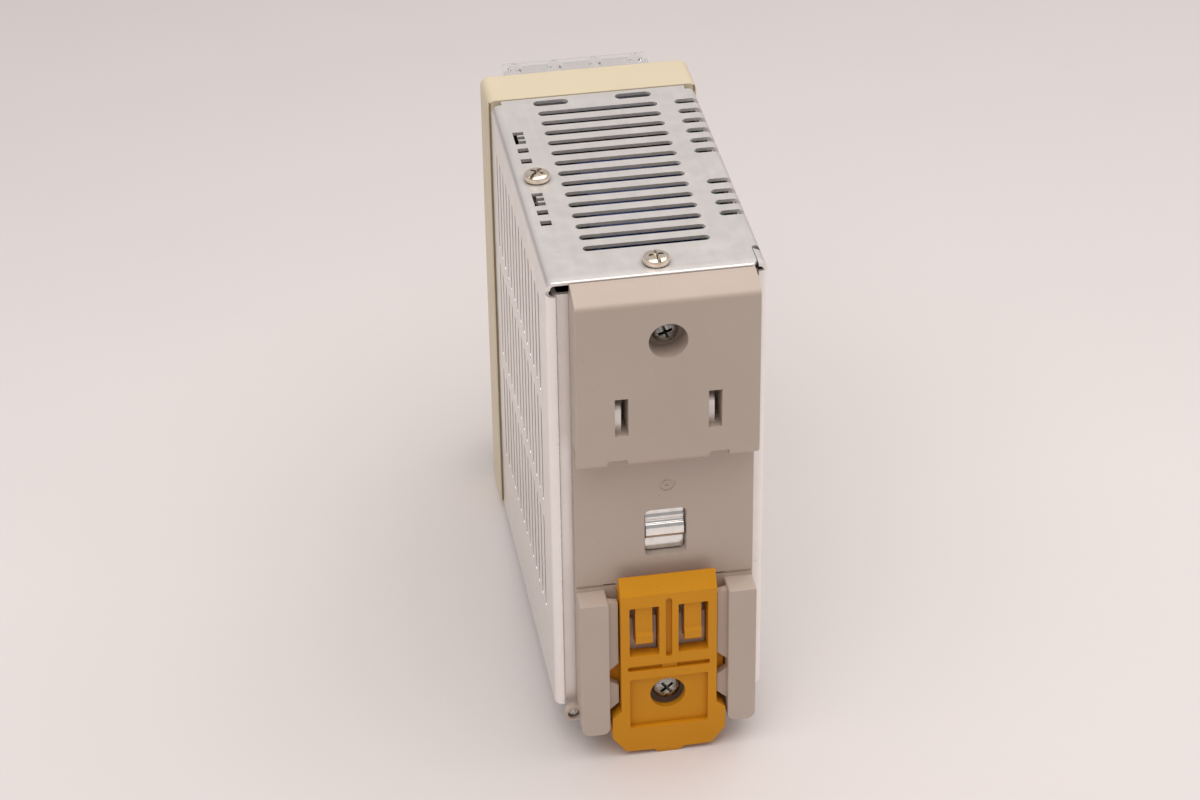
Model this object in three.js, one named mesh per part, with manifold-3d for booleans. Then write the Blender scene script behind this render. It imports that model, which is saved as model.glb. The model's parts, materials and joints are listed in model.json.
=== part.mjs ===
// DIN rail power supply: a slim ventilated steel case with a plastic front bezel that carries
// two covered screw-terminal blocks, and a plastic rail mount with a sliding rail stopper behind.
// Units are millimetres. +Z is up, the terminals face -Y and the rail side faces +Y.
// The origin is under the middle of the part, level with the foot of the rail stopper.
import * as THREE from "three";
import { mergeVertices } from "three/addons/utils/BufferGeometryUtils.js";
import Module from "manifold-3d";

const wasm = await Module();
wasm.setup();

// ---- Driving dimensions ----
const REAR_Y = 60.65; // outer face of the rail mount
const FRONT_Y = -60.65; // outer face of the terminal covers
const CASE_HALF_WIDTH = 24.2;
const CASE_TOP = 124.94;
const CASE_BOTTOM = 11.2;
const CASE_REAR = 53.1;
const CASE_FRONT = -31.5;
const SHEET = 0.8;
const SHEET_BEND = 1.8;

const VENT_PITCH = 4.885;
const VENT_ROWS = 14;
const VENT_FIRST_Y = -23.6;
const VENT_WIDTH = 2.2;
const TOP_VENT_HALF_LENGTH = 14.1;
const SIDE_VENT_BANDS = [[30.3, 56.2], [59.9, 85.8], [89.5, 115.4]];

const BEZEL_HALF_WIDTH = 25;
const BEZEL_TOP = 125.3;
const BEZEL_BOTTOM = 10.8;
const BEZEL_REAR = -31.7;
const BEZEL_FRONT = -44.5;
const BEZEL_CORNER = 2;
const BEZEL_WALL = 1.5;
const CONSOLE_FRONT = -56.5;

const MOUNT_X = -1;
const MOUNT_HALF_WIDTH = 20.3;
const RAIL_SEAT_Y = 54.85;
const MOUNT_BACK_Y = 52.3;
const LEDGE_Z = 80.8;
const MOUNT_TOP_FACE_Z = 122.5;
const MOUNT_RIDGE_Z = 124.5;
const GUIDE_INNER = 13.7;
const GUIDE_TOP = 44.1;
const GUIDE_BOTTOM = 7;
const RAIL_SCREW_Z = 112.3;
const FOOT_SCREW_Z = 16.3;
const RAIL_SCREW_SEAT_Y = 54.8;
const FOOT_SCREW_SEAT_Y = 55.6;

const STOPPER_HALF_WIDTH = 11.1;
const STOPPER_FACE_Y = 60.4;
const STOPPER_BACK_Y = 55.1;
const STOPPER_TIP_Z = 49;
const STOPPER_FACE_TOP_Z = 45.3;
const STOPPER_EDGE_Z = 45.2; // what the rail's lower edge rests on
const STOPPER_SKIN_Y = 57.2; // inner side of the stopper's face
const TONGUE_X = 5.65; // from the stopper's middle to a tongue's middle
const WINDOW_HALF = 3.45;
const WINDOW_Z = [28.4, 41.95];

const POLE_PITCH = 9.8;
const TERMINAL_BED_Y = -49;
const BARRIER_FRONT_Y = -56.5;
const BARRIER = 1.2;
const CLEAR_WALL = 1.2;
const CLEAR_HALF_WIDTH = 17.5;
const CLEAR_TOP = 120.1;

const FINE = 20; // sides of a small round
const COARSE = 12; // sides of a tiny round

// ---- Solids from three.js geometry ----
function solidOf(geometry) {
  const plain = geometry.index ? geometry.toNonIndexed() : geometry;
  const bare = new THREE.BufferGeometry();
  bare.setAttribute("position", plain.getAttribute("position"));
  const merged = mergeVertices(bare, 1e-4);
  const corners = [];
  for (let i = 0; i < merged.index.count; i += 3) {
    const [a, b, c] = [0, 1, 2].map((k) => merged.index.getX(i + k));
    if (a !== b && b !== c && a !== c) corners.push(a, b, c);
  }
  return new wasm.Manifold(new wasm.Mesh({
    numProp: 3,
    vertProperties: merged.attributes.position.array,
    triVerts: new Uint32Array(corners),
  }));
}

function union(...solids) {
  return solids.reduce((whole, piece) => whole.add(piece));
}

function carve(solid, ...cutters) {
  return cutters.reduce((rest, cutter) => rest.subtract(cutter), solid);
}

function extruded(points, length) {
  const shape = new THREE.Shape(points.map(([a, b]) => new THREE.Vector2(a, b)));
  return new THREE.ExtrudeGeometry(shape, { depth: length, bevelEnabled: false });
}

// An outline in X and Z, extruded from one Y to another.
function prismY(points, from, to) {
  return solidOf(extruded(points, to - from).rotateX(Math.PI / 2).translate(0, to, 0));
}

// An outline in X and Y, extruded from one Z to another.
function prismZ(points, from, to) {
  return solidOf(extruded(points, to - from).translate(0, 0, from));
}

// An outline in Y and Z, extruded from one X to another.
function prismX(points, from, to) {
  const turn = new THREE.Matrix4().makeBasis(
    new THREE.Vector3(0, 1, 0),
    new THREE.Vector3(0, 0, 1),
    new THREE.Vector3(1, 0, 0),
  );
  return solidOf(extruded(points, to - from).applyMatrix4(turn).translate(from, 0, 0));
}

function box(x0, x1, y0, y1, z0, z1) {
  const shape = new THREE.BoxGeometry(x1 - x0, y1 - y0, z1 - z0);
  return solidOf(shape.translate((x0 + x1) / 2, (y0 + y1) / 2, (z0 + z1) / 2));
}

function circle(u, v, radius, sides = FINE) {
  return Array.from({ length: sides }, (_, i) => {
    const angle = ((i + 0.5) / sides) * 2 * Math.PI;
    return [u + radius * Math.cos(angle), v + radius * Math.sin(angle)];
  });
}

function arc(u, v, radius, startDeg, endDeg, steps) {
  return Array.from({ length: steps + 1 }, (_, i) => {
    const angle = THREE.MathUtils.degToRad(startDeg + ((endDeg - startDeg) * i) / steps);
    return [u + radius * Math.cos(angle), v + radius * Math.sin(angle)];
  });
}

function roundRect(u0, u1, v0, v1, radius, steps = 4) {
  return [
    ...arc(u1 - radius, v0 + radius, radius, -90, 0, steps),
    ...arc(u1 - radius, v1 - radius, radius, 0, 90, steps),
    ...arc(u0 + radius, v1 - radius, radius, 90, 180, steps),
    ...arc(u0 + radius, v0 + radius, radius, 180, 270, steps),
  ];
}

// A slot with round ends, long in its first coordinate.
function slotAlong(u0, u1, v, width) {
  const r = width / 2;
  return [...arc(u1 - r, v, r, -90, 90, 2), ...arc(u0 + r, v, r, 90, 270, 2)];
}

// A slot with round ends, long in its second coordinate.
function slotAcross(u, v0, v1, width) {
  const r = width / 2;
  return [...arc(u, v1 - r, r, 0, 180, 2), ...arc(u, v0 + r, r, 180, 360, 2)];
}

// A profile of [radius, height] turned about the Y axis.
function turned(profile, sides = FINE) {
  return solidOf(new THREE.LatheGeometry(profile.map(([r, h]) => new THREE.Vector2(r, h)), sides));
}

// ---- The scene graph ----
const supply = new THREE.Group();
supply.name = "din_rail_power_supply";

const LOOKS = {
  zincSheet: [0xd2cbc4, 0.38, 0.85],
  creamPlastic: [0xd8c6aa, 0.6, 0],
  mountPlastic: [0xb8a999, 0.62, 0],
  stopperPlastic: [0xc8862e, 0.5, 0],
  springSteel: [0xdedad6, 0.2, 1],
  clearPlastic: [0xe8ecec, 0.12, 0],
  blackPlastic: [0x1b1b1c, 0.55, 0],
  nickel: [0xc9bda6, 0.25, 1],
  steelScrew: [0x9a9c98, 0.3, 1],
  brass: [0xb8954c, 0.35, 1],
  board: [0x2e5a3a, 0.6, 0],
  ferrite: [0x2b2b2d, 0.7, 0],
  tape: [0xc9a63a, 0.55, 0],
  blueSleeve: [0x23355e, 0.4, 0],
  blackSleeve: [0x1e1e22, 0.4, 0],
  aluminium: [0xb4b6b8, 0.4, 0.9],
  copperWire: [0xa8652f, 0.4, 0.8],
  yellowBox: [0xc8b04a, 0.55, 0],
  glassTube: [0xcfd6d8, 0.15, 0],
  greenLens: [0x59b25a, 0.25, 0],
  redLens: [0xb8483e, 0.25, 0],
  fibreSheet: [0x3a3634, 0.7, 0],
};

function place(name, solid, look, at = [0, 0, 0]) {
  const made = solid.getMesh();
  const geometry = new THREE.BufferGeometry();
  geometry.setAttribute("position", new THREE.BufferAttribute(made.vertProperties, 3));
  geometry.setIndex(new THREE.BufferAttribute(made.triVerts, 1));
  const [color, roughness, metalness] = LOOKS[look];
  const material = new THREE.MeshStandardMaterial({ color, roughness, metalness });
  const mesh = new THREE.Mesh(geometry, material);
  mesh.name = name;
  mesh.position.set(...at);
  supply.add(mesh);
  return mesh;
}

// ---- Case cover: one sheet bent over both sides, perforated for air ----
function caseCover() {
  const half = CASE_HALF_WIDTH;
  const bendIn = SHEET_BEND - SHEET;
  const bendX = half - SHEET_BEND;
  const bendZ = CASE_TOP - SHEET_BEND;
  const section = [
    [half, CASE_BOTTOM],
    ...arc(bendX, bendZ, SHEET_BEND, 0, 90, 3),
    ...arc(-bendX, bendZ, SHEET_BEND, 90, 180, 3),
    [-half, CASE_BOTTOM],
    [SHEET - half, CASE_BOTTOM],
    ...arc(-bendX, bendZ, bendIn, 180, 90, 3),
    ...arc(bendX, bendZ, bendIn, 90, 0, 3),
    [half - SHEET, CASE_BOTTOM],
  ];
  const bendStart = CASE_REAR - SHEET_BEND;
  const flangeEnd = 22.2;
  const flange = [
    [half, bendStart - 0.1],
    ...arc(bendX, bendStart, SHEET_BEND, 0, 90, 3),
    [flangeEnd, CASE_REAR],
    [flangeEnd, CASE_REAR - SHEET],
    ...arc(bendX, bendStart, bendIn, 90, 0, 3),
    [half - SHEET, bendStart - 0.1],
  ];
  const mirrored = flange.map(([x, y]) => [-x, y]);
  const cornerRelief = [bendStart, CASE_REAR + 1, 0, bendZ - 0.3];
  const tongueTop = BEZEL_TOP - BEZEL_WALL - 0.1; // the tongue steps down to pass under the bezel
  let cover = prismY(section, CASE_FRONT, CASE_REAR);
  cover = carve(
    cover,
    box(half - SHEET_BEND - 1, half + 1, ...cornerRelief),
    box(-half - 1, SHEET_BEND + 1 - half, ...cornerRelief),
  );
  cover = union(
    cover,
    prismZ(flange, CASE_BOTTOM + 1, bendZ - 0.3),
    prismZ(mirrored, CASE_BOTTOM + 1, bendZ - 0.3),
    box(-22, 22, CASE_FRONT, CASE_FRONT + SHEET, tongueTop - SHEET, CASE_TOP - 0.1),
    box(-22, 22, CASE_FRONT - 3.7, CASE_FRONT + 0.1, tongueTop - SHEET, tongueTop),
  );

  const cutTop = CASE_TOP + 1;
  const cutUnder = CASE_TOP - SHEET - 1;
  const wrapFrom = CASE_TOP - 5.3;
  const cuts = [];
  for (let row = 0; row < VENT_ROWS; row++) {
    const y = VENT_FIRST_Y + row * VENT_PITCH;
    const long = slotAlong(-TOP_VENT_HALF_LENGTH, TOP_VENT_HALF_LENGTH, y, VENT_WIDTH);
    cuts.push(prismZ(long, cutUnder, cutTop));
    const wraps = row < 6 || (row > 7 && row < 12);
    if (wraps) cuts.push(prismZ(slotAlong(-half - 2, -18.1, y, VENT_WIDTH), wrapFrom, cutTop));
    const edges = [y - VENT_WIDTH / 2, y + VENT_WIDTH / 2];
    for (const [low, high] of SIDE_VENT_BANDS) {
      cuts.push(box(half - 2, half + 1, ...edges, low, high));
      cuts.push(box(-half - 1, 2 - half, ...edges, low, high));
    }
  }
  for (const [x0, x1] of [[6.2, 14.5], [-13.5, -4.9]]) {
    cuts.push(prismZ(slotAlong(x0, x1, CASE_FRONT + 2.75, 2.6), cutUnder, cutTop));
  }
  for (const [y, width] of [[-12.8, 5.8], [-6.7, 2.1], [-1.6, 2.1], [16.4, 5.4], [22.4, 2.1], [27.2, 2.1]]) {
    cuts.push(box(18.9, 21.4, y - width / 2, y + width / 2, cutUnder, cutTop));
  }
  for (const side of [-1, 1]) {
    const [x0, x1] = [bendX - 0.6, half + 1].map((x) => side * x).sort((a, b) => a - b);
    cuts.push(box(x0, x1, CASE_FRONT - 1, CASE_FRONT + 1.3, bendZ - 0.6, cutTop));
  }
  for (const [x, y] of TOP_SCREWS) cuts.push(prismZ(circle(x, y, 1.9, COARSE), cutUnder, cutTop));
  return carve(cover, ...cuts);
}

const TOP_SCREWS = [[19.1, 7.15], [-0.6, 48.3]];
place("case_cover", caseCover(), "zincSheet");

// ---- Chassis: bottom plate and rear plate folded from one sheet ----
function chassis() {
  const rearFace = MOUNT_BACK_Y - 0.4;
  const plate = 1;
  let body = union(
    box(-23.2, 23.2, CASE_FRONT, rearFace, CASE_BOTTOM, CASE_BOTTOM + plate),
    box(-22.8, 22.8, rearFace - plate, rearFace, CASE_BOTTOM, 122.4),
  );
  for (const side of [-1, 1]) {
    const x = MOUNT_X + side * 10.4;
    body = union(body, box(x - 0.6, x + 0.6, rearFace - 0.5, REAR_Y - 2.4, 88, 95.6));
  }
  const cuts = [];
  for (let row = 1; row < VENT_ROWS - 1; row++) {
    const y = VENT_FIRST_Y + row * VENT_PITCH;
    const vent = slotAlong(-TOP_VENT_HALF_LENGTH, TOP_VENT_HALF_LENGTH, y, VENT_WIDTH);
    cuts.push(prismZ(vent, CASE_BOTTOM - 1, CASE_BOTTOM + plate + 1));
  }
  for (const z of [RAIL_SCREW_Z, FOOT_SCREW_Z]) {
    cuts.push(prismY(circle(MOUNT_X, z, 1.8, COARSE), rearFace - 2, rearFace + 1));
  }
  return carve(body, ...cuts);
}

place("chassis", chassis(), "zincSheet");

// ---- Front bezel: a rim round the case, a front plate and a raised console ----
const MID_Z = (BEZEL_TOP + BEZEL_BOTTOM) / 2;
const TERMINAL_BAYS = [[94.3, 119.3], [2 * MID_Z - 119.3, 2 * MID_Z - 94.3]];
const CONSOLE = { half: 20.5, low: 47, high: 91, wall: 1.6 };
const CONTROL_Z = 84;
const TRIMMER_X = -11;
const LENSES = [["power_lens", 12, "greenLens"], ["alarm_lens", 4.5, "redLens"]];

function frontBezel() {
  const half = BEZEL_HALF_WIDTH;
  const edge = 0.7;
  const outline = (inset) => roundRect(
    inset - half, half - inset, BEZEL_BOTTOM + inset, BEZEL_TOP - inset, BEZEL_CORNER - inset / 2,
  );
  const rim = union(
    prismY(outline(0), BEZEL_FRONT + edge, BEZEL_REAR),
    prismY(outline(edge), BEZEL_FRONT, BEZEL_FRONT + edge + 0.1),
  );
  const plate = 2;
  const hollow = roundRect(
    2 - half, half - 2, BEZEL_BOTTOM + BEZEL_WALL, BEZEL_TOP - BEZEL_WALL, 1.6,
  );
  const { half: wide, low, high, wall } = CONSOLE;
  let body = carve(rim, prismY(hollow, BEZEL_FRONT + plate, BEZEL_REAR + 1));
  body = union(
    body,
    prismY(roundRect(-wide, wide, low, high, 2), CONSOLE_FRONT + 0.7, BEZEL_FRONT + 0.5),
    prismY(roundRect(0.7 - wide, wide - 0.7, low + 0.7, high - 0.7, 1.6), CONSOLE_FRONT, -55),
  );
  const cuts = TERMINAL_BAYS.map(([z0, z1]) => box(-20.7, 20.7, BEZEL_FRONT - 1, BEZEL_REAR, z0, z1));
  const inside = [wall - wide, wide - wall, CONSOLE_FRONT + wall, BEZEL_REAR, low + wall, high - wall];
  cuts.push(box(...inside));
  cuts.push(prismY(roundRect(-17, 17, 50, 77, 1), CONSOLE_FRONT - 1, CONSOLE_FRONT + 0.4));
  cuts.push(prismY(circle(TRIMMER_X, CONTROL_Z, 3.7), CONSOLE_FRONT - 1, CONSOLE_FRONT + 4));
  for (const [, x] of LENSES) {
    cuts.push(prismY(circle(x, CONTROL_Z, 1.8, COARSE), CONSOLE_FRONT - 1, CONSOLE_FRONT + 4));
  }
  return carve(body, ...cuts);
}

place("front_bezel", frontBezel(), "creamPlastic");

// ---- Rail mount: ledge that hooks the rail's top edge, seat, and guides for the stopper ----
// A small round lug stands out past the lower corner of the case and holds a short steel pin.
const LUG = { x: 20.4, z: 10, radius: 1.95, face: 55.2, floor: 53.6, bore: 1.45 };

// The raised U on the seat that a tongue's thick tip sits in.
function saddle(x) {
  const arm = 1;
  const outer = WINDOW_HALF - 0.2;
  const [low, top, floor] = [27.5, 37, 30.9];
  const points = [
    [-outer, low], [outer, low], [outer, top], [outer - arm, top],
    [outer - arm, floor], [arm - outer, floor], [arm - outer, top], [-outer, top],
  ].map(([dx, z]) => [x + dx, z]);
  return prismY(points, RAIL_SEAT_Y - 0.4, STOPPER_SKIN_Y - 0.3);
}

function railMount() {
  const left = MOUNT_X - MOUNT_HALF_WIDTH;
  const right = MOUNT_X + MOUNT_HALF_WIDTH;
  const wall = 2;
  const hook = 57.6; // inner face of the hook over the rail
  const shell = [
    [MOUNT_BACK_Y, LEDGE_Z],
    [RAIL_SEAT_Y, LEDGE_Z],
    [RAIL_SEAT_Y, LEDGE_Z + 3.5],
    [hook, LEDGE_Z + 3.5],
    [hook, LEDGE_Z],
    [REAR_Y - 0.3, LEDGE_Z],
    [REAR_Y, LEDGE_Z + 0.3],
    [REAR_Y, MOUNT_TOP_FACE_Z - 0.5],
    [REAR_Y - 0.5, MOUNT_TOP_FACE_Z],
    [REAR_Y - 5.9, MOUNT_RIDGE_Z],
    [CASE_REAR + 0.3, MOUNT_RIDGE_Z],
    [CASE_REAR + 0.3, 122.2],
    [MOUNT_BACK_Y, 122.2],
  ];
  const hollow = [
    [MOUNT_BACK_Y - 1, LEDGE_Z + 5.5],
    [REAR_Y - wall, LEDGE_Z + 5.5],
    [REAR_Y - wall, MOUNT_TOP_FACE_Z - 2.4],
    [MOUNT_BACK_Y - 1, MOUNT_TOP_FACE_Z - 2.4],
  ];
  const boss = circle(MOUNT_X, RAIL_SCREW_Z, 6.2);
  let mount = prismX(shell, left, right);
  mount = carve(mount, prismX(hollow, left + wall, right - wall));
  mount = union(
    mount,
    prismY(boss, MOUNT_BACK_Y, REAR_Y - 1),
    prismY(circle(MOUNT_X, FOOT_SCREW_Z, 3.4), MOUNT_BACK_Y, FOOT_SCREW_SEAT_Y),
    prismY(roundRect(left, right, 8, LEDGE_Z + 3, 1.5, 3), MOUNT_BACK_Y, RAIL_SEAT_Y),
  );

  for (const side of [-1, 1]) {
    const inner = MOUNT_X + side * GUIDE_INNER;
    const outer = MOUNT_X + side * MOUNT_HALF_WIDTH;
    const stripEdge = MOUNT_X + side * 11.5;
    const low = Math.min(inner, outer);
    const high = Math.max(inner, outer);
    const stripLow = Math.min(inner + side, stripEdge);
    const stripHigh = Math.max(inner + side, stripEdge);
    mount = union(
      mount,
      prismY(roundRect(low, high, GUIDE_BOTTOM, GUIDE_TOP, 1.4), RAIL_SEAT_Y - 0.5, REAR_Y),
      box(stripLow, stripHigh, 57.1, 58.9, 25.4, GUIDE_TOP - 0.6),
      box(stripLow, stripHigh, 57.1, 58.9, 13.4, 21.2),
      saddle(MOUNT_X + side * TONGUE_X),
    );
  }
  mount = union(
    mount,
    prismY(circle(LUG.x, LUG.z, LUG.radius), CASE_REAR + 0.2, LUG.face),
    box(MOUNT_X + GUIDE_INNER + 2, LUG.x, RAIL_SEAT_Y - 0.4, LUG.face, LUG.z - 1.9, LUG.z + 1.9),
  );

  const cuts = [
    prismY(circle(MOUNT_X, RAIL_SCREW_Z, 4.35), RAIL_SCREW_SEAT_Y, REAR_Y + 1),
    prismY(circle(MOUNT_X, RAIL_SCREW_Z, 1.9, COARSE), MOUNT_BACK_Y - 1, REAR_Y),
    prismY(circle(MOUNT_X, FOOT_SCREW_Z, 1.9, COARSE), MOUNT_BACK_Y - 1, REAR_Y),
    prismY(roundRect(-6.1, 3.5, 52.1, 64.6, 0.8, 2), MOUNT_BACK_Y - 1, RAIL_SEAT_Y + 1),
    prismY(circle(LUG.x, LUG.z, LUG.bore, COARSE), LUG.floor, LUG.face + 1),
  ];
  for (const side of [-1, 1]) {
    const x = MOUNT_X + side * 10.4;
    const notch = MOUNT_X + side * 11.4;
    cuts.push(box(x - 1.5, x + 1.5, REAR_Y - wall - 1, REAR_Y + 1, 89, 98.6));
    cuts.push(box(notch - 2.3, notch + 2.3, hook - 1, REAR_Y + 1, LEDGE_Z - 1, LEDGE_Z + 1.6));
  }
  return carve(mount, ...cuts);
}

place("rail_mount", railMount(), "mountPlastic");
const pin = prismY(circle(0, 0, LUG.bore - 0.1, COARSE), 0, 0.6);
place("lug_pin", pin, "steelScrew", [LUG.x, LUG.floor + 0.1, LUG.z]);

// ---- Rail stopper: the slider that hooks the rail's bottom edge, pulled down to release ----
function railStopper() {
  const half = STOPPER_HALF_WIDTH;
  const outline = [
    [-half, STOPPER_TIP_Z + 1], [-half, 13], [-13.2, 11.2], [-13.2, 5.5], [-10, 1.3],
    [-3.6, 1.1], [-2.3, 0], [2.3, 0], [3.6, 1.1],
    [10, 1.3], [13.2, 5.5], [13.2, 11.2], [half, 13], [half, STOPPER_TIP_Z + 1],
  ].map(([x, z]) => [MOUNT_X + x, z]);
  const profile = [
    [STOPPER_BACK_Y, -1], [STOPPER_FACE_Y - 0.4, -1], [STOPPER_FACE_Y, 1.5],
    [STOPPER_FACE_Y, STOPPER_FACE_TOP_Z], [STOPPER_SKIN_Y + 0.7, STOPPER_TIP_Z],
    [STOPPER_SKIN_Y, STOPPER_TIP_Z - 0.3], [STOPPER_SKIN_Y, STOPPER_EDGE_Z],
    [STOPPER_BACK_Y, STOPPER_EDGE_Z],
  ];
  let body = prismY(outline, STOPPER_BACK_Y, STOPPER_FACE_Y).intersect(prismX(profile, -30, 30));
  const cuts = [
    prismY(circle(MOUNT_X + 0.1, FOOT_SCREW_Z, 3.9), STOPPER_BACK_Y - 1, STOPPER_FACE_Y + 1),
    box(MOUNT_X - 9.1, MOUNT_X + 9.1, STOPPER_FACE_Y - 1.2, STOPPER_FACE_Y + 1, 7.95, 21.9),
    box(MOUNT_X - 9.3, MOUNT_X + 9.3, STOPPER_BACK_Y - 1, 57.6, 10, 22),
    box(MOUNT_X - 3.7, MOUNT_X + 3.7, STOPPER_BACK_Y - 1, 57.7, 11, 30.6),
    prismY(
      slotAlong(MOUNT_X - 9.6, MOUNT_X + 9.6, 24.9, 1.4), STOPPER_FACE_Y - 1, STOPPER_FACE_Y + 1,
    ),
    prismY(slotAcross(MOUNT_X, 27.5, 43.9, 1.4), STOPPER_FACE_Y - 1, STOPPER_FACE_Y + 1),
  ];
  for (const side of [-1, 1]) {
    const edges = [MOUNT_X + side * TONGUE_X - WINDOW_HALF, MOUNT_X + side * TONGUE_X + WINDOW_HALF];
    cuts.push(box(...edges, STOPPER_BACK_Y - 1, STOPPER_FACE_Y + 1, ...WINDOW_Z));
    cuts.push(box(...edges, STOPPER_BACK_Y - 1, STOPPER_SKIN_Y, 21.9, STOPPER_EDGE_Z + 1));
  }
  body = carve(body, ...cuts);
  for (const side of [-1, 1]) {
    const x = MOUNT_X + side * TONGUE_X;
    const runnerEdge = MOUNT_X + side * 13.3;
    const root = MOUNT_X + side * (half - 0.5);
    body = union(
      body,
      box(x - 1.95, x + 1.95, 58.6, STOPPER_FACE_Y - 0.3, 32, 42.5),
      box(x - 1.95, x + 1.95, STOPPER_SKIN_Y, STOPPER_FACE_Y - 0.9, 31.3, 34.2),
      box(Math.min(root, runnerEdge), Math.max(root, runnerEdge), 55.3, 56.8, 16, 40),
    );
  }
  return body;
}

place("rail_stopper", railStopper(), "stopperPlastic");

// ---- Leaf spring seen through the window of the rail seat ----
function railSpring() {
  const flat = MOUNT_BACK_Y - 0.05;
  const thick = 0.45;
  const ridge = (offset) => arc(flat + offset, 59, 2 + offset, -60, 60, 6)
    .map(([y, z]) => [y - 1 + 0.3, z]);
  const outer = [[flat + thick, 52.5], ...ridge(thick), [flat + thick, 64.2]];
  const inner = [[flat, 64.2], ...ridge(0).reverse(), [flat, 52.5]];
  return prismX([...outer, ...inner], -5.7, 3.1);
}

place("rail_spring", railSpring(), "springSteel");

// ---- Screws ----
function screw(headRadius, headHeight, shankRadius, shankLength) {
  let body = turned([
    [0, -shankLength],
    [shankRadius, -shankLength],
    [shankRadius, 0],
    [headRadius, 0],
    [headRadius, headHeight * 0.5],
    [headRadius * 0.7, headHeight],
    [0, headHeight],
  ], COARSE);
  const reach = headRadius * 0.55;
  const blade = 0.4;
  const floor = headHeight * 0.45;
  body = carve(
    body,
    box(-reach, reach, floor, headHeight + 1, -blade, blade),
    box(-blade, blade, floor, headHeight + 1, -reach, reach),
  );
  return body;
}

// Turns a solid whose axis is +Y so that the axis points the way given.
function aimed(solid, direction) {
  const turns = { "+Y": [0, 0, 0], "-Y": [180, 0, 0], "+Z": [90, 0, 0], "-Z": [-90, 0, 0], "+X": [0, 0, -90] };
  return solid.rotate(turns[direction]);
}

const topScrew = aimed(screw(2.9, 2, 1.5, 6), "+Z");
place("case_screw_side", topScrew, "nickel", [...TOP_SCREWS[0], CASE_TOP + 0.05]);
place("case_screw_rear", topScrew, "nickel", [...TOP_SCREWS[1], CASE_TOP + 0.05]);
const upperScrew = screw(2.9, 2, 1.5, 7.7);
place("mount_screw_upper", upperScrew, "steelScrew", [MOUNT_X, RAIL_SCREW_SEAT_Y + 0.05, RAIL_SCREW_Z]);
const lowerScrew = screw(2.7, 1.7, 1.5, 8.5);
place("mount_screw_lower", lowerScrew, "steelScrew", [MOUNT_X, FOOT_SCREW_SEAT_Y + 0.05, FOOT_SCREW_Z]);

// ---- Terminal blocks with captive screws, and their clear covers ----
// The upper block is drawn as it stands; the lower one is its mirror image about MID_Z.
const BLOCK = { low: 95, high: 118.4, screwZ: 106.5, half: 20.2, back: -36 };
const HINGE = { y: -46.2, z: 119.1, radius: 1, pin: 0.8 };

function flip(solid) {
  return solid.mirror([0, 0, 1]).translate([0, 0, 2 * MID_Z]);
}

function poleCentres(count) {
  return Array.from({ length: count }, (_, i) => (i - (count - 1) / 2) * POLE_PITCH);
}

function terminalBlock(count) {
  const { low, high, screwZ, half, back } = BLOCK;
  let block = box(-half, half, TERMINAL_BED_Y, back, low, high - 0.8);
  for (let i = 0; i <= count; i++) {
    const x = (i - count / 2) * POLE_PITCH;
    const end = BARRIER / 2;
    block = union(block, box(x - end, x + end, BARRIER_FRONT_Y, TERMINAL_BED_Y + 1, low, 117.6));
  }
  for (const side of [-1, 1]) {
    const x0 = Math.min(side * 18, side * half);
    const ear = box(x0, x0 + half - 18, HINGE.y - 1.6, BEZEL_FRONT - 0.15, 117, 120.5);
    const base = box(x0, x0 + half - 18, TERMINAL_BED_Y, HINGE.y + 1.8, 116, 118.3);
    block = union(block, ear, base);
  }
  const cuts = [prismX(circle(HINGE.y, HINGE.z, HINGE.pin + 0.15, COARSE), -19.4, 19.4)];
  for (const x of poleCentres(count)) {
    cuts.push(prismY(circle(x, screwZ, 1.9, COARSE), TERMINAL_BED_Y - 1, TERMINAL_BED_Y + 7));
  }
  return carve(block, ...cuts);
}

function clearCover(count) {
  const half = CLEAR_HALF_WIDTH;
  const inner = FRONT_Y + CLEAR_WALL;
  const low = 94;
  let shell = union(
    box(-half, half, FRONT_Y, HINGE.y, CLEAR_TOP - CLEAR_WALL, CLEAR_TOP),
    box(-half, half, FRONT_Y, inner, low, CLEAR_TOP),
    prismX(circle(HINGE.y, HINGE.z, HINGE.radius, COARSE), -half, half),
    prismX(circle(HINGE.y, HINGE.z, HINGE.pin, COARSE), -19.2, 19.2),
  );
  for (const side of [-1, 1]) {
    const edge = side * half;
    const cheek = side * (half - 1);
    shell = union(
      shell,
      box(Math.min(edge, cheek), Math.max(edge, cheek), inner - 0.1, -57.2, low, CLEAR_TOP - 1),
    );
  }
  const cuts = [];
  for (const x of poleCentres(count)) {
    cuts.push(prismZ(circle(x, -57.6, 1.8, COARSE), CLEAR_TOP - 3, CLEAR_TOP + 1));
    cuts.push(prismY(circle(x, BLOCK.screwZ, 2.5, COARSE), FRONT_Y - 1, inner + 1));
  }
  return carve(shell, ...cuts);
}

const contact = carve(
  box(-3.9, 3.9, -1, 0, -9.5, 9.5),
  prismY(circle(0, 0, 1.9, COARSE), -2, 1),
);
const clamp = carve(
  box(-3.4, 3.4, -1, 0, -3.4, 3.4),
  prismY(circle(0, 0, 1.9, COARSE), -2, 1),
);
const terminalScrew = aimed(screw(3.2, 2.2, 1.6, 7.2), "-Y");
const SCREW_SEAT_Y = TERMINAL_BED_Y - 2.65;

function fitTerminals(prefix, count, screwZ, tint) {
  poleCentres(count).forEach((x, i) => {
    const label = `${prefix}_${i + 1}`;
    place(`${label}_contact`, contact, "brass", [x, TERMINAL_BED_Y - 0.2, screwZ]);
    place(`${label}_clamp`, clamp, "nickel", [x, TERMINAL_BED_Y - 1.4, screwZ]);
    place(`${label}_screw`, terminalScrew, tint, [x, SCREW_SEAT_Y, screwZ]);
  });
}

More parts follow.
